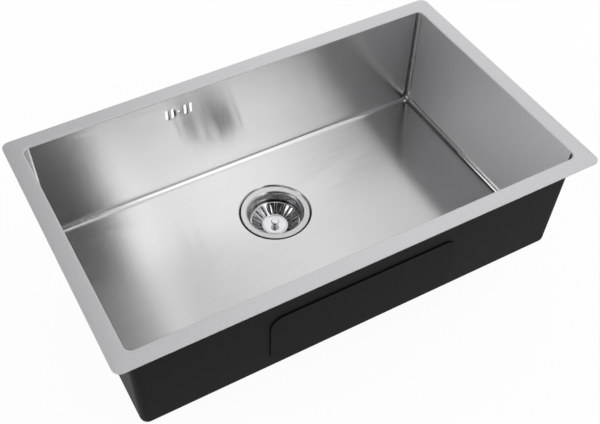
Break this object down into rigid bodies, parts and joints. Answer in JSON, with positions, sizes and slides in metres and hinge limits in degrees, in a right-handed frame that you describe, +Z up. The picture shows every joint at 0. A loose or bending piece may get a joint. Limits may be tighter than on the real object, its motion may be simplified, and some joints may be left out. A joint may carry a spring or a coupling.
{
  "type": "undermount kitchen sink",
  "caption": "Undermount single-bowl kitchen sink in brushed steel with a black-coated outside, an overflow in the rear wall and a lift-out basket strainer.",
  "frame": {"origin": "The middle of the flange's top face, the face that is glued up against the worktop's underside.", "axes": "+X along the sink's length, to the right seen from the front; +Y from the front wall to the rear wall, which has the overflow; +Z up, out of the bowl."},
  "size_m": [0.74, 0.44, 0.2768],
  "materials": {
    "bowl_steel": "satin stainless steel, brushed along each panel",
    "black_coat": "matt black sprayed sound-deadening coat with a fine grain",
    "pad_rubber": "matt black rubber pads, sprayed with the coat",
    "polished_steel": "polished stainless steel",
    "seal_rubber": "soft black rubber",
    "waste_plastic": "moulded white polypropylene",
    "fixing_steel": "plain stainless steel"
  },
  "bodies": {
    "sink": {"bowl": "bowl_steel", "outer_coating": "black_coat", "front_sound_pad": "pad_rubber", "rear_sound_pad": "pad_rubber", "left_sound_pad": "pad_rubber", "right_sound_pad": "pad_rubber", "left_base_pad": "pad_rubber", "right_base_pad": "pad_rubber", "strainer_cup": "polished_steel", "rim_seal": "seal_rubber", "body_seal": "seal_rubber", "waste_body": "waste_plastic", "clamp_bolt": "fixing_steel"},
    "stopper": {"stopper_seal": "seal_rubber"},
    "basket": {"basket": "polished_steel", "knob_post": "polished_steel"}
  },
  "joints": [
    {"name": "basket_lift", "type": "slide", "parent": "sink", "child": "stopper", "axis": [0, 0, 1], "range_m": [0, 0.25]},
    {"name": "basket_turn", "type": "hinge", "parent": "stopper", "child": "basket", "pos_m": [0, 0.065, -0.2235], "axis": [0, 0, 1], "continuous": true}
  ]
}
